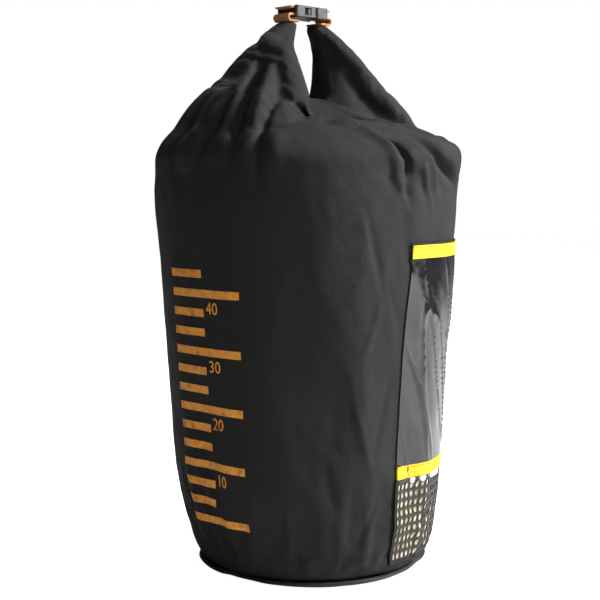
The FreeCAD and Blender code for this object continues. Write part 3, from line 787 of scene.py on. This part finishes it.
def makeHem():
    # the hem's pale grey base colour is painted reflection: it stands in for the white glare of the lamps on
    # the glossy edge of the film, and the coat adds a real reflection on top
    material, nodes, links, shader = newMaterial("hemPaintedGlare")
    glareStreaks = addTexture(nodes, links, "ShaderNodeTexNoise", 160, Detail=3, Roughness=0.5)
    # painted reflection: streaky pale greys in the base colour, in place of glare
    ramp = addRamp(nodes, links, glareStreaks.outputs["Fac"], [(0.4, grey(0.46)), (0.62, grey(0.82))])
    links.new(ramp.outputs["Color"], shader.inputs["Base Color"])
    shader.inputs["Roughness"].default_value = 0.3
    shader.inputs["Coat Weight"].default_value = 0.5
    shader.inputs["Coat Roughness"].default_value = 0.15
    addBump(nodes, links, shader, glareStreaks.outputs["Fac"], 0.3, 0.001)

    def ruffle(u, v):
        return 0.0007 * (1 + math.sin(u * 41 + 3 * math.sin(u * 9)))

    hem = patch("hem", (windowSides[0] + 9, windowSides[1]), window["hem"], 100, 6, 0.0009, 0.0008, ruffle)
    finishPiece(hem, "film_hem_strip", "bag", material, "milky_film", "film_hem")


def makeNet():
    # a panel of cells, each inset and opened, then laid on the bag
    columns, rows = window["meshColumns"], window["meshRows"]
    deselectAll()
    bpy.ops.mesh.primitive_grid_add(x_subdivisions=columns, y_subdivisions=rows, size=1)
    net = bpy.context.active_object
    for vertex in net.data.vertices:
        vertex.co.x = (vertex.co.x + 0.5) * columns
        vertex.co.y = (vertex.co.y + 0.5) * rows
    # every other row is shifted, as knitted net is
    for vertex in net.data.vertices:
        row = round(vertex.co.y)
        inside = 0.4 < vertex.co.x < columns - 0.4
        vertex.co.x += 0.12 * (1 if row % 2 else -1) * inside
    bpy.ops.object.mode_set(mode="EDIT")
    bpy.ops.mesh.select_mode(type="FACE")
    bpy.ops.mesh.select_all(action="SELECT")
    bpy.ops.mesh.inset(thickness=0.075, use_individual=True)
    bpy.ops.mesh.delete(type="FACE")
    bpy.ops.object.mode_set(mode="OBJECT")
    addModifier(net, "SUBSURF", levels=1, render_levels=1)
    applyModifiers(net)
    for vertex in net.data.vertices:
        u, v = vertex.co.x / columns, vertex.co.y / rows
        azimuth = mixed(windowSides[0] + 0.4, windowSides[1] - 0.4, u)
        height = mixed(window["meshFoot"], window["meshTop"], v)
        vertex.co = onFabric(azimuth, height, 0.0017)
    thicken(net, 0.0008, 0.0)
    net = smoothShade(cleanMesh(net, distance=0.000005), 50)
    material = threadFinish("blackNet", (0.010, 0.010, 0.010, 1), (0.026, 0.025, 0.023, 1))
    finishPiece(net, "drain_net", "bag", material, "black_net", "drain_mesh")


def makeLining():
    material, nodes, links, shader = newMaterial("paleLining")
    stain = addTexture(nodes, links, "ShaderNodeTexNoise", 45, Detail=5, Roughness=0.6)
    creams = [(0.32, (0.38, 0.30, 0.17, 1)), (0.50, (0.66, 0.58, 0.38, 1)), (0.68, (0.80, 0.76, 0.60, 1))]
    ramp = addRamp(nodes, links, stain.outputs["Fac"], creams)
    links.new(ramp.outputs["Color"], shader.inputs["Base Color"])
    shader.inputs["Roughness"].default_value = 0.75
    addBump(nodes, links, shader, addWeave(nodes, links, 800), 0.25, 0.0005)
    sides = (windowSides[0] + 0.6, windowSides[1] - 0.6)
    heights = (window["meshFoot"] + 0.001, window["meshTop"] + 0.001)
    lining = patch("lining", sides, heights, 80, 60, 0.0006, 0.0006)
    finishPiece(lining, "lining_panel", "bag", material, "pale_lining", "mesh_lining")


def makeNetEdges():
    # the fabric's turned edge down each side and along the foot of the net
    foot, top = window["meshFoot"], window["meshTop"]
    for end, azimuth in (("start", windowSides[0]), ("end", windowSides[1])):
        sides = (azimuth - 1.1, azimuth + 1.0)
        lip = patch("lip", sides, (foot - 0.003, top + 0.002), 6, 90, 0.0022, 0.0016, rim=0.0004)
        finishPiece(lip, f"net_edge_{end}", "bag", fabricFinish, "black_fabric")
    sides = (windowSides[0] - 1.1, windowSides[1] + 1.0)
    lip = patch("lip", sides, (foot - 0.0035, foot + 0.0005), 110, 6, 0.0021, 0.0015, rim=0.0004)
    finishPiece(lip, "net_edge_foot", "bag", fabricFinish, "black_fabric")


makeFilm()
makeTapes()
makeHem()
makeLining()
makeNet()
makeNetEdges()
print("window made")


scale = {
    "middle": 182.0,  # azimuth
    "foot": 0.050,
    "pitch": 0.017,
    "bar": 0.0070,
    "count": 14,
    "longEvery": 3,
    "longAngle": 36.0,
    "shortAngle": 18.0,
    "lift": 0.0004,
    "digit": 0.0150,  # height of a numeral
}


def printFinish():
    material, nodes, links, shader = newMaterial("orangePrint")
    wear = addTexture(nodes, links, "ShaderNodeTexNoise", 140, Detail=5, Roughness=0.7)
    inks = [(0.34, (0.40, 0.15, 0.02, 1)), (0.46, (0.78, 0.30, 0.035, 1)), (0.7, (0.92, 0.38, 0.05, 1))]
    ramp = addRamp(nodes, links, wear.outputs["Fac"], inks)
    links.new(ramp.outputs["Color"], shader.inputs["Base Color"])
    shader.inputs["Roughness"].default_value = 0.42
    shader.inputs["Specular IOR Level"].default_value = 0.4
    addBump(nodes, links, shader, addWeave(nodes, links, 900), 0.2, 0.0005)
    return material


def makeNumeral(number, azimuth, height):
    # a plain numeral, laid on the fabric
    deselectAll()
    bpy.ops.object.text_add(location=(0, 0, 0))
    words = bpy.context.active_object
    words.data.body = str(number)
    words.data.size = scale["digit"]
    words.data.align_x = "LEFT"
    words.data.align_y = "CENTER"
    words.data.resolution_u = 3
    bpy.ops.object.convert(target="MESH")
    numeral = bpy.context.active_object
    bpy.ops.object.mode_set(mode="EDIT")
    bpy.ops.mesh.select_all(action="SELECT")
    bpy.ops.mesh.quads_convert_to_tris()
    bpy.ops.mesh.subdivide(number_cuts=3)
    bpy.ops.object.mode_set(mode="OBJECT")
    for vertex in numeral.data.vertices:
        across = math.degrees(vertex.co.x / 0.131)
        vertex.co = onFabric(azimuth + across, height + vertex.co.y, scale["lift"])
    return numeral


def makeScale():
    pieces = []
    start = scale["middle"] - scale["longAngle"] / 2
    for index in range(scale["count"]):
        isLong = index % scale["longEvery"] == 0
        angle = scale["longAngle"] if isLong else scale["shortAngle"]
        foot = scale["foot"] + index * scale["pitch"]

        def place(u, v):
            return onFabric(start + angle * u, foot + scale["bar"] * v, scale["lift"])

        pieces.append(wrapGrid("bar", 36 if isLong else 18, 5, place))
        if isLong and index:
            pieces.append(makeNumeral(index // scale["longEvery"] * 10, start + 19.5, foot - 0.0095))
    print("scale pieces", len(pieces))
    gauge = joinPieces(pieces, "gauge")
    thicken(gauge, 0.0003)
    finishPiece(gauge, "fill_scale", "bag", printFinish(), "orange_print", "printed_scale")


makeScale()
print("scale made")

seam = {
    "azimuth": 75.0,
    "halfAngle": 3.5,
    "foot": 0.014,
    "top": 0.345,
    "lift": 0.0012,
    "stitch": (0.0028, 0.0007),
}


def makeBackSeam():
    def fold(u, v):
        return 0.0003 * max(bump(u, 0.06, 0.08), bump(u, 0.94, 0.08)) + 0.0003 * math.sin(v * 60)

    sides = (seam["azimuth"] - seam["halfAngle"], seam["azimuth"] + seam["halfAngle"])
    tape = patch("tape", sides, (seam["foot"], seam["top"]), 16, 160, seam["lift"], 0.0010, fold, 0.0003)
    finishPiece(tape, "back_seam_strip", "bag", bindingFinish, "black_binding", "back_seam_tape")
    for side in (-1, 1):
        azimuth = seam["azimuth"] + side * (seam["halfAngle"] - 0.9)
        heights = [mixed(seam["foot"] + 0.004, seam["top"] - 0.004, step / 82) for step in range(83)]
        run = [onArc(azimuth, height, seam["lift"] + 0.0003) for height in heights]
        row = stitchRow("row", run, *seam["stitch"])
        finishPiece(row, f"back_seam_stitches_{side + 1}", "bag", darkThread, "black_binding")


binding = {
    "radius": 0.1036,
    "half": 0.0024,
    "height": 0.0030,
    "waves": ((7, 0.0009), (13, 0.0005), (4, 0.0011)),  # how many round the base, and how deep
    "stitch": (0.0022, 0.0006),
    "discRadius": 0.1025,
}


def bindingWave(turn):
    return sum(depth * math.sin(count * turn + count) for count, depth in binding["waves"])


def makeBinding():
    # a rolled tape round the base seam, not quite even
    shift = Vector((bag["baseShift"][0], bag["baseShift"][1], 0))

    def place(u, v):
        turn = u * 2 * math.pi
        around = v * 2 * math.pi
        wave = bindingWave(turn)
        flat = 0.86 + 0.14 * math.sin(5 * turn)
        radius = binding["radius"] + wave + binding["half"] * math.cos(around) * 1.1
        height = binding["height"] + abs(wave) * 0.35 + binding["half"] * flat * math.sin(around)
        ridge = 0.00012 * math.sin(turn * 260)
        above = Vector((0, 0, max(0.0003, height)))
        return compass(math.degrees(turn)) * (radius + ridge) + above + shift

    roll = smoothShade(cleanMesh(wrapGrid("roll", 640, 18, place)))
    finishPiece(roll, "base_edge_binding", "bag", bindingFinish, "black_binding", "base_binding")
    points = []
    for step in range(241):
        turn = step / 240 * 2 * math.pi
        wave = bindingWave(turn)
        reach = binding["radius"] + wave + binding["half"] * 0.95
        points.append(compass(math.degrees(turn)) * reach + Vector((0, 0, binding["height"] + 0.0016)) + shift)
    row = stitchRow("row", points, *binding["stitch"])
    finishPiece(row, "base_stitches", "bag", darkThread, "black_binding")

    def underneath(u, v):
        # the base panel, slightly slack
        turn = u * 2 * math.pi
        reach = binding["discRadius"] * v
        sag = 0.0014 - 0.0009 * math.cos(3 * turn) * v * (1 - v) * 2
        return Vector((reach * math.cos(turn), reach * math.sin(turn), sag)) + shift

    disc = thicken(wrapGrid("disc", 96, 24, underneath), 0.0009)
    disc = smoothShade(cleanMesh(disc, distance=0.00002))
    finishPiece(disc, "base_disc", "bag", fabricFinish, "black_fabric", "base_panel")


bindingLight = (0.022, 0.022, 0.021, 1)
bindingFinish = clothFinish("boundEdge", grey(0.010), bindingLight, 0.55, 500, 0.5, 0.35, 0.04)
makeBackSeam()
makeBinding()
print("seams made")

webbing = {
    "thickness": 0.0017,
    "halfWidth": 0.0100,
    "legHeight": 0.49775,
    "barHeight": 0.5069,
    "roundBar": 0.00305,
    "turn": 0.0030,
    "tack": 0.0050,
    "reach": 0.0053,
    "nearBar": -0.02393,
    "farBar": 0.01437,
}


def webbingPath(barX, side):
    # from the tip of the roll, out, up in a hairpin and back round the buckle's bar
    leg, top = webbing["legHeight"], webbing["barHeight"]
    under = top - webbing["roundBar"]
    half = (under - leg) / 2
    outX = barX + side * webbing["reach"]
    points = [(barX - side * webbing["tack"], leg), (barX, leg), (outX, leg)]
    for step in range(1, 8):
        angle = -math.pi / 2 + math.pi * step / 8
        points.append((outX + side * half * math.cos(angle), leg + half + half * math.sin(angle)))
    points += [(outX, under), (barX, under)]
    for step in range(1, 12):
        angle = -math.pi / 2 - math.pi * step / 12
        outward, upward = webbing["roundBar"] * math.cos(angle), webbing["roundBar"] * math.sin(angle)
        points.append((barX + side * outward, top + upward))
    points += [(barX, top + webbing["roundBar"]), (outX + side * 0.0008, top + webbing["roundBar"])]
    return points


def runAlong(points, share):
    # a point at a share of the way along a run, and the direction there
    lengths = [math.dist(a, b) for a, b in zip(points, points[1:])]
    place = share * sum(lengths)
    for (a, b), length in zip(zip(points, points[1:]), lengths):
        if place <= length or b is points[-1]:
            step = min(1, place / length)
            direction = ((b[0] - a[0]) / length, (b[1] - a[1]) / length)
            return mixed(a[0], b[0], step), mixed(a[1], b[1], step), *direction
        place -= length


def webbingFinish():
    material, nodes, links, shader = newMaterial("orangeWebbing")
    place = nodes.new("ShaderNodeTexCoord")
    split = nodes.new("ShaderNodeSeparateXYZ")
    links.new(place.outputs["Object"], split.inputs[0])
    rows = addMath(nodes, links, "SINE", addMath(nodes, links, "MULTIPLY", split.outputs["Y"], 5200), 0)
    picks = addMath(nodes, links, "SINE", addMath(nodes, links, "MULTIPLY", split.outputs["X"], 4200), 0)
    weave = addMath(nodes, links, "MULTIPLY", rows, picks)
    fuzz = addTexture(nodes, links, "ShaderNodeTexNoise", 500, Detail=4, Roughness=0.6)
    tone = addShares(nodes, links, weave, 0.12, fuzz.outputs["Fac"], 1.0)
    oranges = [(0.3, (0.22, 0.075, 0.012, 1)), (0.5, (0.48, 0.18, 0.030, 1)), (0.68, (0.66, 0.30, 0.075, 1))]
    ramp = addRamp(nodes, links, tone, oranges)
    links.new(ramp.outputs["Color"], shader.inputs["Base Color"])
    shader.inputs["Roughness"].default_value = 0.6
    shader.inputs["Sheen Weight"].default_value = 0.1
    addBump(nodes, links, shader, tone, 0.5, 0.0008)
    return material


def makeWebbing(name, barX, side, finish, body="bag"):
    points = webbingPath(barX, side)

    def place(u, v):
        x, z, stepX, stepZ = runAlong(points, v)
        ridge = 0.00016 * math.sin(u * math.pi * 18) ** 2
        across = mixed(-1, 1, u) * webbing["halfWidth"]
        return Vector((x - stepZ * ridge * side, across, z + stepX * ridge * side))

    strip = wrapGrid(name, 54, 90, place)
    addModifier(strip, "SOLIDIFY", thickness=webbing["thickness"], offset=0, use_even_offset=True)
    corner = math.radians(50)
    addModifier(strip, "BEVEL", width=0.0004, segments=2, limit_method="ANGLE", angle_limit=corner)
    applyModifiers(strip)
    strip = smoothShade(cleanMesh(strip, distance=0.000005), 40)
    return finishPiece(strip, name + "_strap", body, finish, "orange_webbing", name)


strapFinish = webbingFinish()
makeWebbing("near_webbing", webbing["nearBar"], -1, strapFinish)
# the far webbing bends between two bodies, so it rides on neither
farStrap = makeWebbing("far_webbing", webbing["farBar"], 1, strapFinish, None)
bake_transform(farStrap)
print("webbing made")


def makeTacks():
    # the bar tacks that hold each webbing to the tip of the roll
    for name, x in (("near", -0.0205), ("far", 0.0110)):
        height = webbing["legHeight"] + 0.00095
        points = [Vector((x, -0.0085 + 0.0017 * step, height)) for step in range(11)]
        row = stitchRow("row", points, 0.0018, 0.0007)
        finishPiece(row, f"{name}_tack", "bag", darkThread, "black_binding")


makeTacks()


# ---- buckle ----
def plasticFinish():
    material, nodes, links, shader = newMaterial("mouldedPlastic")
    grain = addTexture(nodes, links, "ShaderNodeTexNoise", 2600, Detail=2, Roughness=0.6)
    scuff = addTexture(nodes, links, "ShaderNodeTexNoise", 240, Detail=6, Roughness=0.7, Distortion=0.8)
    blacks = [
        (0.35, (0.012, 0.012, 0.0115, 1)),
        (0.6, (0.030, 0.030, 0.028, 1)),
        (0.78, (0.10, 0.098, 0.09, 1)),
    ]
    ramp = addRamp(nodes, links, scuff.outputs["Fac"], blacks)
    links.new(ramp.outputs["Color"], shader.inputs["Base Color"])
    worn = addRamp(nodes, links, scuff.outputs["Fac"], [(0.3, grey(0.32)), (0.7, grey(0.52))])
    links.new(worn.outputs["Color"], shader.inputs["Roughness"])
    shader.inputs["Specular IOR Level"].default_value = 0.5
    addBump(nodes, links, shader, grain.outputs["Fac"], 0.25, 0.0003)
    return material


buckleFinish = plasticFinish()
for name in ("buckle_socket", "buckle_tongue", "front_prong", "back_prong"):
    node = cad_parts[name]
    node.data.materials.clear()
    node.data.materials.append(buckleFinish)
print("buckle finished")


# ---- rope loop inside ----
ropeLoop = {"half": 0.0115, "height": 0.0330, "foot": 0.0075, "y": 0.092, "strand": 0.0022, "twist": 9}


def makeRopeLoop():
    strands = []
    for start in range(3):
        def place(u, v):
            turn = math.pi * v
            cx = -ropeLoop["half"] * math.cos(turn)
            cz = ropeLoop["foot"] + ropeLoop["height"] * math.sin(turn) ** 0.8
            lay = v * ropeLoop["twist"] * 2 * math.pi + start * 2 * math.pi / 3
            around = u * 2 * math.pi
            out = ropeLoop["strand"] * math.cos(lay) + ropeLoop["strand"] * math.cos(around)
            side = ropeLoop["strand"] * math.sin(lay) + ropeLoop["strand"] * math.sin(around)
            return Vector((cx - out * math.cos(turn), ropeLoop["y"] + side, cz + out * math.sin(turn)))

        strands.append(cleanMesh(wrapGrid("strand", 12, 160, place), closeEnds=True))
    loop = smoothShade(joinPieces(strands, "loop"))
    sheath = threadFinish("ropeSheath", grey(0.02), (0.07, 0.07, 0.065, 1))
    finishPiece(loop, "tie_loop", "bag", sheath, "black_binding", "rope_loop")


makeRopeLoop()
print("rope loop made")


# ---- floor and light ----
def makeStage():
    deselectAll()
    bpy.ops.mesh.primitive_plane_add(size=12)
    floor = bpy.context.active_object
    floor.name = "floor"
    material, nodes, links, shader = newMaterial("paleFloor")
    shader.inputs["Base Color"].default_value = (0.86, 0.86, 0.86, 1)
    shader.inputs["Roughness"].default_value = 0.7
    shader.inputs["Emission Color"].default_value = (1, 1, 1, 1)
    path = nodes.new("ShaderNodeLightPath")
    shine = nodes.new("ShaderNodeMath")
    shine.operation = "MULTIPLY"
    shine.inputs[1].default_value = 0.95
    links.new(path.outputs["Is Camera Ray"], shine.inputs[0])
    links.new(shine.outputs[0], shader.inputs["Emission Strength"])
    floor.data.materials.append(material)
    return floor


def makeLight(name, azimuth, elevation, distance, size, power):
    direction = compass(azimuth) * math.cos(math.radians(elevation))
    direction.z = math.sin(math.radians(elevation))
    place = direction * distance + Vector((0, 0, 0.25))
    bpy.ops.object.light_add(type="AREA", location=place)
    lamp = bpy.context.active_object
    lamp.name = name
    lamp.data.shape = "DISK"
    lamp.data.size = size
    lamp.data.energy = power
    lamp.rotation_euler = (-direction).to_track_quat("-Z", "Y").to_euler()
    return lamp


def makeWorld():
    world = bpy.data.worlds.new("studio")
    bpy.context.scene.world = world
    world.use_nodes = True
    nodes = world.node_tree.nodes
    links = world.node_tree.links
    background = nodes["Background"]
    background.inputs["Color"].default_value = (1, 1, 1, 1)
    # plain white where the camera or a clear film sees past the floor, and dim everywhere else
    path = nodes.new("ShaderNodeLightPath")
    seen = nodes.new("ShaderNodeMath")
    seen.operation = "MAXIMUM"
    links.new(path.outputs["Is Camera Ray"], seen.inputs[0])
    links.new(path.outputs["Is Transmission Ray"], seen.inputs[1])
    strength = nodes.new("ShaderNodeMapRange")
    strength.inputs["To Min"].default_value = 0.045
    strength.inputs["To Max"].default_value = 1.0
    links.new(seen.outputs[0], strength.inputs["Value"])
    links.new(strength.outputs[0], background.inputs["Strength"])


makeStage()
makeWorld()
makeLight("keyLight", 312, 34, 1.8, 0.5, 74)
makeLight("fillLight", 254, 44, 2.2, 1.0, 14)
makeLight("backLight", 50, 45, 2.0, 1.0, 9)

bpy.context.scene.view_settings.view_transform = "Standard"
print("stage made")
